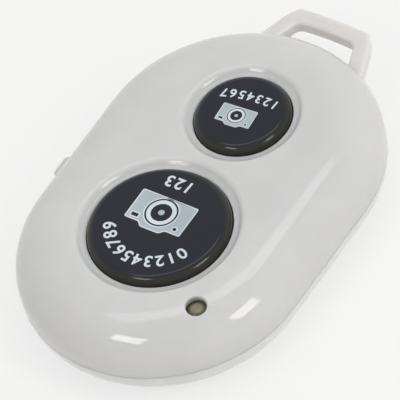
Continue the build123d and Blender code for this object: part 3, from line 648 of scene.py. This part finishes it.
def cap_middle(node):
    """A cap's place along the housing."""
    low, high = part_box(node)
    return (low.y + high.y) / 2


def cap_radius(node, button):
    """The radius of a cap's face, which is inside its flange."""
    low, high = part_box(node)
    return (high.x - low.x) / 2 - button.flange


def cap_face(node, button):
    """The height of a cap's face, which leaves room for the ink below the top of its node."""
    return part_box(node)[1].z - button.ink_thickness


def dish_cutter(name, node, shell, button, steps):
    """The cutter for a shallow dish with a soft lip and a rounded hole."""
    hole = cap_radius(node, button) + button.gap
    lip = hole + shell.dish_lip
    edge = shell.hole_edge
    bottom = HEIGHT - shell.dish_depth
    width = lip - hole - edge
    drop = shell.dish_depth
    radius = (width ** 2 + drop ** 2) / (4 * drop)
    sweep = math.degrees(math.asin(width / 2 / radius))
    above = HEIGHT + shell.wall
    profile = [(0, above), (lip + edge, above), (lip, HEIGHT)]
    profile += arc((lip, HEIGHT - radius), (radius, radius), 90, 90 + sweep, DISH_STEPS)[1:]
    profile += arc((lip - width, bottom + radius), (radius, radius), sweep - 90, -90, DISH_STEPS)[1:]
    profile += arc((hole + edge, bottom - edge), (edge, edge), 90, 180, HOLE_EDGE_STEPS)
    profile += [(hole, PARTING), (0, PARTING)]
    return turned(name, profile, 0, cap_middle(node), steps)


def light_hole(light, shell, steps):
    """The cutter for the light's hole, whose soft lip leans with the shoulder it stands in."""
    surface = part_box("led_lens")[1].z + light.recess
    mouth = light.hole + light.lip
    bottom = surface - LIGHT_HOLE_DEPTH * light.hole
    profile = [(0, surface + mouth), (mouth, surface + mouth), (mouth, surface)]
    profile += arc((mouth, surface - light.lip), (light.lip, light.lip), 90, 180, LIGHT_LIP_STEPS)[1:]
    profile += [(light.hole, bottom), (0, bottom)]
    cutter = turned("light_hole", profile, LIGHT.x, LIGHT.y, steps)
    outward = Vector((LIGHT.x, LIGHT.y + END_CENTRE, 0))
    reach = (outward.length - (HALF_WIDTH - shell.front_round)) / shell.front_round
    drop = HEIGHT - PARTING - shell.side_band
    lean = math.atan(drop / shell.front_round * reach / math.sqrt(1 - reach ** 2))
    middle = Vector((LIGHT.x, LIGHT.y, surface))
    turn = Matrix.Rotation(lean, 4, UP.cross(outward))
    cutter.data.transform(Matrix.Translation(middle) @ turn @ Matrix.Translation(-middle))
    return cutter


def knob_slot(knob):
    """The cutter for the power knob's slot, as long as the knob and its travel."""
    travel = joint_travel("power_switch_slide")
    rest_y = middle_of("power_switch_knob").y
    half = knob.span / 2 + knob.gap
    rise = knob.height / 2 + knob.gap
    low = (-HALF_WIDTH - knob.depth, rest_y - half, knob.middle - rise)
    high = (-HALF_WIDTH + knob.depth, rest_y + travel + half, knob.middle + rise)
    return block("knob_slot", low, high)


def bowed_edge(half_width, y, bow):
    """Points from right to left along an edge that bows out in the middle."""
    points = []
    for step in range(LOOP_BOW_STEPS + 1):
        x = half_width * (1 - 2 * step / LOOP_BOW_STEPS)
        points.append(Vector((x, y + bow * (1 - (x / half_width) ** 2), PARTING)))
    return points


def lanyard_loop(loop):
    """A tapered loop whose two legs end inside the shell's wall."""
    root_y = HOUSING_END - loop.root_depth
    tip_y = LOOP_TIP - loop.bow
    window_y = tip_y - loop.bar
    taper = (loop.root_half_width - loop.tip_half_width) / (tip_y - root_y)
    window_half = loop.tip_half_width + taper * loop.bar - loop.leg
    outer_root = Vector((loop.root_half_width, root_y, PARTING))
    inner_root = outer_root - Vector((loop.leg, 0, 0))
    flip = Vector((-1, 1, 1))
    points = [outer_root, *bowed_edge(loop.tip_half_width, tip_y, loop.bow), outer_root * flip]
    points += [inner_root * flip, *reversed(bowed_edge(window_half, window_y, loop.bow)), inner_root]
    piece = chain("loop", points, closed=True)
    for half_width, y, radius in (
        (loop.tip_half_width, tip_y, loop.corner),
        (window_half, window_y, loop.window_corner),
    ):
        select_vertices(piece, lambda place: near(abs(place.x), half_width) and near(place.y, y))
        bpy.ops.mesh.bevel(affect="VERTICES", offset=radius, segments=LOOP_CORNER_STEPS)
        leave()
    edit(piece, "FACE")
    extrude((0, 0, loop.thickness))
    leave()
    merge_and_turn_out(piece)
    select_edges(piece, lambda a, b: near(a.z, b.z) and not (near(a.y, root_y) and near(b.y, root_y)))
    bpy.ops.mesh.bevel(offset=loop.edge, segments=LOOP_EDGE_STEPS)
    leave()
    return piece


def paint_loop_glow(piece):
    """The faces beyond the shell's outline take the loop's paler, warmer white, which is painted light
    glowing through the thin loop.
    """
    glow_slot = len(piece.data.materials)
    piece.data.materials.append(FINISHES["white_loop_painted_glow"])
    end = Vector((0, END_CENTRE))
    outline = HALF_WIDTH + LOOP_GLOW_START
    for face in piece.data.polygons:
        if face.center.y > END_CENTRE and (face.center.xy - end).length > outline:
            face.material_index = glow_slot


class REMOTE_OT_front_shell(bpy.types.Operator):
    """Models the front shell with its dishes, light hole and lanyard loop"""
    bl_idname = "remote.front_shell"
    bl_label = "Front shell"

    def execute(self, context):
        settings = context.scene.remote
        shell = settings.shell
        piece = stadium_skin("front_shell_moulding", front_profile(shell), settings.round_steps)
        fill_loop(piece, HEIGHT)
        fill_loop(piece, HEIGHT - shell.wall)
        merge_and_turn_out(piece)
        for size, node in CAPS.items():
            cut(piece, dish_cutter(f"{size}_dish", node, shell, settings.button, settings.cap_steps))
        cut(piece, light_hole(settings.light, shell, settings.round_steps))
        cut(piece, knob_slot(settings.knob))
        join(piece, lanyard_loop(settings.loop))
        smooth(piece)
        finish(piece, "housing", "white_shell", "front_shell")
        paint_loop_glow(piece)
        return {"FINISHED"}


class REMOTE_OT_status_light(bpy.types.Operator):
    """Turns the light pipe"""
    bl_idname = "remote.status_light"
    bl_label = "Status light"

    def execute(self, context):
        settings = context.scene.remote
        light = settings.light
        low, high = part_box("led_lens")
        flange_radius = (high.x - low.x) / 2
        flange_top = low.z + light.flange
        profile = arc((0, high.z - light.dome), (light.pipe, light.dome), 90, 0, LIGHT_DOME_STEPS)
        profile += [(light.pipe, flange_top), (flange_radius, flange_top)]
        profile += [(flange_radius, low.z), (0, low.z)]
        piece = turned("light_pipe", profile, LIGHT.x, LIGHT.y, settings.round_steps)
        smooth(piece)
        finish(piece, "housing", "smoked_lens", "led_lens")
        return {"FINISHED"}


# Buttons
class REMOTE_OT_button_caps(bpy.types.Operator):
    """Turns the two button caps"""
    bl_idname = "remote.button_caps"
    bl_label = "Button caps"

    def execute(self, context):
        settings = context.scene.remote
        button = settings.button
        flange_top = HEIGHT - settings.shell.wall - button.flange_drop
        flange_bottom = flange_top - button.flange_height
        for size, node in CAPS.items():
            radius = cap_radius(node, button)
            face = cap_face(node, button)
            inner = radius - button.wall
            roll_centre = (radius - button.roll, face - button.roll)
            profile = [(0, face)]
            profile += arc(roll_centre, (button.roll, button.roll), 90, 0, CAP_ROLL_STEPS)
            profile += [(radius, flange_top), (radius + button.flange, flange_top)]
            profile += [(radius + button.flange, flange_bottom), (inner, flange_bottom)]
            profile += [(inner, face - button.wall), (0, face - button.wall)]
            piece = turned(f"{size}_cap_moulding", profile, 0, cap_middle(node), settings.cap_steps)
            smooth(piece)
            finish(piece, f"{size}_button", "black_cap", node)
        return {"FINISHED"}


class REMOTE_OT_snap_domes(bpy.types.Operator):
    """Turns the two snap domes under the buttons, each on a mesh of its own; the real domes flatten as
    their buttons are pressed.
    """
    bl_idname = "remote.snap_domes"
    bl_label = "Snap domes"

    def execute(self, context):
        settings = context.scene.remote
        for size in CAPS:
            node = f"{size}_switch_dome"
            low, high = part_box(node)
            middle = middle_of(node)
            rise = high.z - low.z
            radius = (high.x - low.x) / 2
            outer = (radius ** 2 + rise ** 2) / (2 * rise)
            inner = outer - settings.button.dome_sheet
            centre = (0, high.z - outer)
            rim = outer - rise
            outer_end = math.degrees(math.asin(rim / outer))
            inner_end = math.degrees(math.asin(rim / inner))
            profile = arc(centre, (outer, outer), 90, outer_end, SNAP_DOME_STEPS)
            profile += arc(centre, (inner, inner), inner_end, 90, SNAP_DOME_STEPS)
            piece = turned(f"{size}_snap_dome", profile, middle.x, middle.y, settings.round_steps)
            smooth(piece)
            finish(piece, "housing", SLOTS[node], node)
            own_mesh(piece)
        return {"FINISHED"}


# Printed marks, drawn upright about a cap's centre, then turned to face away from the loop
SIGNS = {
    "large": {
        "width": 7.4 * MM, "height": 4.3 * MM, "lens": 1.88 * MM,
        "place": (0.45 * MM, -1.4 * MM), "lean": 0,
    },
    "small": {
        "width": 4.4 * MM, "height": 2.5 * MM, "lens": 1.05 * MM,
        "place": (0.22 * MM, 0.8 * MM), "lean": 4,
    },
}

# Each row's numerals, their height, the arc they stand on in degrees, and the arc's place and lean
NUMERAL_ROWS = {
    "large": (
        {
            "characters": "0123456789", "height": 1.5 * MM, "radius": 5.4 * MM,
            "start": 152, "end": 28, "outward": True, "place": (0, 0), "lean": 0,
        },
        {
            "characters": "123", "height": 1.5 * MM, "radius": 16 * MM,
            "start": -94.5, "end": -85.5, "outward": False, "place": (0.8 * MM, 10.2 * MM), "lean": 0,
        },
    ),
    "small": (
        {
            "characters": "1234567", "height": 1.15 * MM, "radius": 16 * MM,
            "start": -101.5, "end": -78.5, "outward": False, "place": (-1.75 * MM, 13.6 * MM), "lean": 7,
        },
    ),
}

# Shares of a numeral's height: how high it stands in its type size, and how much bolder it is made
NUMERAL_IN_TYPE_SIZE = 0.7
NUMERAL_WEIGHT = 0.026

# Shares of a sign's width
HUMP_FOOT = 0.24
HUMP_SHOULDER = 0.17
WINDOW_LEFT = 0.3
WINDOW_RIGHT = 0.42
LAMP_DOT_LEFT = 0.36

# Shares of a sign's height
HUMP_RISE = 0.13
SIGN_CORNER = 0.05
SIGN_OUTLINE = 0.035
LAMP_DOT = 0.055

# How far under a sign's top the window and the lamp dot stand, in radii of the dot
WINDOW_TOP = 2
WINDOW_BOTTOM = 4
LAMP_DOT_DROP = 3

# Shares of a sign's lens
LENS_GAP = 1.04
LENS_RING = 0.93
LENS_GLASS = 0.66
LENS_GLINT = 0.2

# Shares of the ink's thickness: how much is sunk in the cap, and how far its cutters reach
INK_SUNK = 0.25
INK_CUT = 4

# How far up a face's normal points at least on a sign's top
FACING_UP = 0.9


def raise_ink(piece, thickness):
    """A flat outline becomes a thin raised layer of ink."""
    edit(piece, "FACE")
    extrude((0, 0, thickness))
    leave()
    merge_and_turn_out(piece)


def colour_all(piece, ink):
    """Every face of a mark takes one of the two inks."""
    for name in INKS:
        piece.data.materials.append(FINISHES[name])
    for face in piece.data.polygons:
        face.material_index = INKS.index(ink)


def outline_top(piece, width, thickness):
    """The top of a sign gets a pale outline round a greyer middle."""
    colour_all(piece, "print_ink")
    edit(piece, "FACE")
    bpy.ops.mesh.select_all(action="DESELECT")
    leave()
    for face in piece.data.polygons:
        face.select = face.normal.z > FACING_UP and face.center.z > thickness / 2
    bpy.ops.object.mode_set(mode="EDIT")
    bpy.ops.mesh.inset(thickness=width)
    leave()
    for face in piece.data.polygons:
        if face.select:
            face.material_index = INKS.index("ink_fill")


def camera_sign(name, width, height, lens, thickness):
    """A plain camera sign: a body with a hump, a flash window, a lamp dot and a ringed lens."""
    right, top = width / 2, height / 2
    foot, shoulder = HUMP_FOOT * width, HUMP_SHOULDER * width
    hump = top + HUMP_RISE * height
    outline = [
        (-right, -top), (right, -top), (right, top), (foot, top),
        (shoulder, hump), (-shoulder, hump), (-foot, top), (-right, top),
    ]
    body = chain(name, [Vector((x, y, 0)) for x, y in outline], closed=True)
    edit(body)
    bpy.ops.mesh.bevel(affect="VERTICES", offset=SIGN_CORNER * height, segments=SIGN_CORNER_STEPS)
    leave()
    raise_ink(body, thickness)
    deep = INK_CUT * thickness
    dot = LAMP_DOT * height
    cut(body, disc("lens_gap", lens * LENS_GAP, (0, 0, 0), deep))
    window_low = (WINDOW_LEFT * width, top - WINDOW_BOTTOM * dot, -deep)
    window_high = (WINDOW_RIGHT * width, top - WINDOW_TOP * dot, deep)
    cut(body, block("flash_window", window_low, window_high))
    dot_place = (-LAMP_DOT_LEFT * width, top - LAMP_DOT_DROP * dot, 0)
    cut(body, disc("lamp_dot", dot, dot_place, deep, DOT_STEPS))
    outline_top(body, SIGN_OUTLINE * height, thickness)
    ring = disc("lens_ring", lens * LENS_RING, (0, 0, thickness / 2), thickness)
    cut(ring, disc("lens_glass", lens * LENS_GLASS, (0, 0, 0), deep))
    colour_all(ring, "print_ink")
    glint = disc("lens_glint", lens * LENS_GLINT, (0, 0, thickness / 2), thickness, GLINT_STEPS)
    colour_all(glint, "ink_fill")
    return join_objects(name, [body, ring, glint])


def numeral(character, height, thickness):
    """One plain numeral as a thin raised mesh, filled at a large size because small ones fill badly."""
    select_none()
    bpy.ops.object.text_add(location=(0, 0, 0))
    sign = bpy.context.object
    sign.data.body = character
    sign.data.size = height / NUMERAL_IN_TYPE_SIZE / MM
    sign.data.offset = NUMERAL_WEIGHT * height / MM
    sign.data.extrude = thickness / 2 / MM
    sign.data.align_x = "CENTER"
    sign.data.align_y = "CENTER"
    bpy.ops.object.convert(target="MESH")
    sign = bpy.context.object
    sign.data.transform(Matrix.Translation((0, 0, thickness / 2)) @ Matrix.Scale(MM, 4))
    merge_and_turn_out(sign)
    return sign


def numerals_on_arc(row, thickness):
    """A row's numerals along its arc, with their tops outwards or inwards."""
    signs = []
    characters = row["characters"]
    for index, character in enumerate(characters):
        share = index / (len(characters) - 1)
        angle = math.radians(row["start"] + (row["end"] - row["start"]) * share)
        sign = numeral(character, row["height"], thickness)
        lean = angle - HALF_TURN / 2 if row["outward"] else angle + HALF_TURN / 2
        place = Vector((math.cos(angle), math.sin(angle), 0)) * row["radius"]
        sign.data.transform(Matrix.Translation(place) @ Matrix.Rotation(lean, 4, "Z"))
        colour_all(sign, "print_ink")
        signs.append(sign)
    return signs


def join_objects(name, pieces):
    """Several meshes become one object."""
    select_none()
    for piece in pieces:
        piece.select_set(True)
    bpy.context.view_layer.objects.active = pieces[0]
    bpy.ops.object.join()
    pieces[0].name = name
    return pieces[0]


def settle(piece, mark, centre):
    """A mark drawn upright is leant and moved to its place on its cap, facing away from the loop."""
    lean = Matrix.Rotation(math.radians(mark["lean"]), 4, "Z")
    about = Matrix.Translation(centre) @ Matrix.Rotation(HALF_TURN, 4, "Z")
    piece.data.transform(about @ Matrix.Translation((*mark["place"], 0)) @ lean)


class REMOTE_OT_printed_marks(bpy.types.Operator):
    """Prints the plain signs and numerals on the two caps"""
    bl_idname = "remote.printed_marks"
    bl_label = "Printed marks"

    def execute(self, context):
        button = context.scene.remote.button
        ink = button.ink_thickness
        for size, node in CAPS.items():
            centre = Vector((0, cap_middle(node), cap_face(node, button) - ink * INK_SUNK))
            mark = SIGNS[size]
            sign = camera_sign(f"{size}_sign", mark["width"], mark["height"], mark["lens"], ink)
            settle(sign, mark, centre)
            signs = [sign]
            for row in NUMERAL_ROWS[size]:
                for sign in numerals_on_arc(row, ink):
                    settle(sign, row, centre)
                    signs.append(sign)
            piece = join_objects(f"{size}_cap_print", signs)
            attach(piece, f"{size}_button")
        return {"FINISHED"}


# Stage: each lamp's direction from the object, distance, width, depth and the way its depth lies
LAMPS = {
    "near_lamp": {
        "direction": (-0.08, -0.63, 0.77), "distance": 0.6, "width": 0.18, "depth": 0.12,
        "along": (0, 0, 1),
    },
    "side_lamp": {
        "direction": (0.7, 0.04, 0.7), "distance": 0.6, "width": 0.18, "depth": 0.17,
        "along": (0, 0, 1),
    },
    "overhead_strip": {
        "direction": (-0.12, 0.2, 0.97), "distance": 0.7, "width": 0.17, "depth": 0.6,
        "along": (0.59, 0.81, 0),
    },
}

# Watts for each square metre of a lamp that make it as bright as a surface of strength one
LAMP_WATTS = 4

BRIGHT_SIDE = (0.6, 0.8, 0)
FLOOR_SIZE = 4
FLOOR_DROP = 0.02 * MM
FLOOR_COLOUR = (0.93, 0.91, 0.87, 1)
FLOOR_ROUGHNESS = 0.9
FLOOR_SPECULAR = 0.1
FLOOR_TINT = (1, 1.003, 1.012)
FLOOR_GLOW_SHARE = 0.75

# The camera: its angles, its distance in metres, and the photograph's pixels per millimetre
CAMERA_ELEVATION = math.radians(49.56)
CAMERA_AZIMUTH = math.radians(44.39)
CAMERA_ROLL = math.radians(-15.41)
CAMERA_DISTANCE = 1.0
CAMERA_REACH = 10
PICTURE_SCALE = 8.943
PICTURE_SIZE = 400
SENSOR = 36.0

# The point over the housing's middle that the camera looks at, and the pixel where it shows
AIM = Vector((0, 0, 10 * MM))
AIM_PIXEL = (194.95, 181.13)


def area_lamp(name, radiance, direction, distance, width, depth, along):
    """A soft rectangular lamp that faces the object from a direction, its depth laid along another."""
    lamp = bpy.data.lights.new(name, "AREA")
    lamp.shape = "RECTANGLE"
    lamp.size = width
    lamp.size_y = depth
    lamp.energy = radiance * width * depth * LAMP_WATTS
    holder = bpy.data.objects.new(name, lamp)
    back = Vector(direction).normalized()
    across = Vector(along).cross(back).normalized()
    turn = Matrix((across, back.cross(across), back)).transposed().to_4x4()
    holder.matrix_world = Matrix.Translation(back * distance) @ turn
    bpy.context.scene.collection.objects.link(holder)


def looked_at(nodes, links):
    """A socket that is one where the camera or a reflection looks, and nought where light falls."""
    rays = nodes.new("ShaderNodeLightPath")
    either = rays.outputs["Is Camera Ray"]
    for kind in ("Is Glossy Ray", "Is Transmission Ray"):
        larger = nodes.new("ShaderNodeMath")
        larger.operation = "MAXIMUM"
        links.new(either, larger.inputs[0])
        links.new(rays.outputs[kind], larger.inputs[1])
        either = larger.outputs[0]
    return either


def floor_material(paleness):
    """A pale floor that looks white to the camera and still takes the object's shadow."""
    material, nodes, links, shader = new_material("pale_floor")
    shader.inputs["Base Color"].default_value = FLOOR_COLOUR
    shader.inputs["Roughness"].default_value = FLOOR_ROUGHNESS
    shader.inputs["Specular IOR Level"].default_value = FLOOR_SPECULAR
    glow = nodes.new("ShaderNodeEmission")
    glow.inputs["Color"].default_value = (*(paleness * share for share in FLOOR_TINT), 1)
    seen = nodes.new("ShaderNodeMath")
    seen.operation = "MULTIPLY"
    seen.inputs[1].default_value = FLOOR_GLOW_SHARE
    mix = nodes.new("ShaderNodeMixShader")
    links.new(looked_at(nodes, links), seen.inputs[0])
    links.new(seen.outputs[0], mix.inputs["Fac"])
    links.new(shader.outputs[0], mix.inputs[1])
    links.new(glow.outputs[0], mix.inputs[2])
    links.new(mix.outputs[0], nodes["Material Output"].inputs["Surface"])
    return material


def light_world(scene, studio):
    """A surround whose light is stronger from one side and that reflects as the pale background."""
    world = bpy.data.worlds.new("white_surround")
    world.use_nodes = True
    nodes, links = world.node_tree.nodes, world.node_tree.links
    background = nodes["Background"]
    background.inputs["Color"].default_value = (1, 1, 1, 1)
    direction = nodes.new("ShaderNodeTexCoord")
    slope = nodes.new("ShaderNodeVectorMath")
    slope.operation = "DOT_PRODUCT"
    slope.inputs[1].default_value = Vector(BRIGHT_SIDE) * studio.slant
    strength = nodes.new("ShaderNodeMath")
    strength.operation = "MULTIPLY_ADD"
    strength.inputs[1].default_value = studio.surround
    strength.inputs[2].default_value = studio.surround
    links.new(direction.outputs["Generated"], slope.inputs[0])
    links.new(slope.outputs["Value"], strength.inputs[0])
    shown = nodes.new("ShaderNodeMix")
    shown.inputs["B"].default_value = studio.background
    links.new(looked_at(nodes, links), shown.inputs["Factor"])
    links.new(strength.outputs[0], shown.inputs["A"])
    links.new(shown.outputs["Result"], background.inputs["Strength"])
    scene.world = world


def place_camera(scene):
    """The camera at the photograph's angle and distance."""
    flat = math.cos(CAMERA_ELEVATION)
    back = Vector((
        math.sin(CAMERA_AZIMUTH) * flat, -math.cos(CAMERA_AZIMUTH) * flat, math.sin(CAMERA_ELEVATION)))
    level_right = Vector((math.cos(CAMERA_AZIMUTH), math.sin(CAMERA_AZIMUTH), 0))
    upright = back.cross(level_right)
    right = level_right * math.cos(CAMERA_ROLL) + upright * math.sin(CAMERA_ROLL)
    top = upright * math.cos(CAMERA_ROLL) - level_right * math.sin(CAMERA_ROLL)
    data = bpy.data.cameras.new("camera")
    data.sensor_width = SENSOR
    data.lens = PICTURE_SCALE * CAMERA_DISTANCE / MM * SENSOR / PICTURE_SIZE
    data.clip_end = CAMERA_REACH
    camera = bpy.data.objects.new("camera", data)
    half = PICTURE_SIZE / 2
    aim = AIM + right * (half - AIM_PIXEL[0]) / PICTURE_SCALE * MM
    aim -= top * (half - AIM_PIXEL[1]) / PICTURE_SCALE * MM
    turn = Matrix((right, top, back)).transposed().to_4x4()
    camera.matrix_world = Matrix.Translation(aim + back * CAMERA_DISTANCE) @ turn
    scene.collection.objects.link(camera)
    scene.camera = camera


class REMOTE_OT_stage(bpy.types.Operator):
    """Sets the pale floor, the soft light and the camera"""
    bl_idname = "remote.stage"
    bl_label = "Stage"

    def execute(self, context):
        scene = context.scene
        studio = scene.remote.studio
        scene.view_settings.view_transform = "Standard"
        select_none()
        bpy.ops.mesh.primitive_plane_add(size=FLOOR_SIZE, location=(0, 0, -FLOOR_DROP))
        floor = context.object
        floor.name = "floor"
        floor.data.materials.append(floor_material(studio.background))
        light_world(scene, studio)
        for name, lamp in LAMPS.items():
            area_lamp(name, getattr(studio, name), **lamp)
        place_camera(scene)
        return {"FINISHED"}


class REMOTE_PT_panel(bpy.types.Panel):
    """Lists the remote's operators"""
    bl_idname = "REMOTE_PT_panel"
    bl_label = "Pocket shutter remote"
    bl_space_type = "VIEW_3D"
    bl_region_type = "UI"
    bl_category = "Remote"

    def draw(self, context):
        for operator in OPERATORS:
            self.layout.operator(operator.bl_idname)


SETTINGS = (
    ShellSettings,
    LoopSettings,
    LightSettings,
    KnobSettings,
    ButtonSettings,
    StudioSettings,
    RemoteSettings,
)
OPERATORS = (
    REMOTE_OT_finishes,
    REMOTE_OT_front_shell,
    REMOTE_OT_status_light,
    REMOTE_OT_button_caps,
    REMOTE_OT_snap_domes,
    REMOTE_OT_printed_marks,
    REMOTE_OT_stage,
)


def register():
    for part in (*SETTINGS, *OPERATORS, REMOTE_PT_panel):
        bpy.utils.register_class(part)
    bpy.types.Scene.remote = PointerProperty(type=RemoteSettings)


def unregister():
    del bpy.types.Scene.remote
    for part in reversed((*SETTINGS, *OPERATORS, REMOTE_PT_panel)):
        bpy.utils.unregister_class(part)


def main():
    register()
    bpy.ops.remote.finishes()
    bpy.ops.remote.front_shell()
    bpy.ops.remote.status_light()
    bpy.ops.remote.button_caps()
    bpy.ops.remote.snap_domes()
    bpy.ops.remote.printed_marks()
    bpy.ops.remote.stage()


if __name__ == "__main__":
    main()
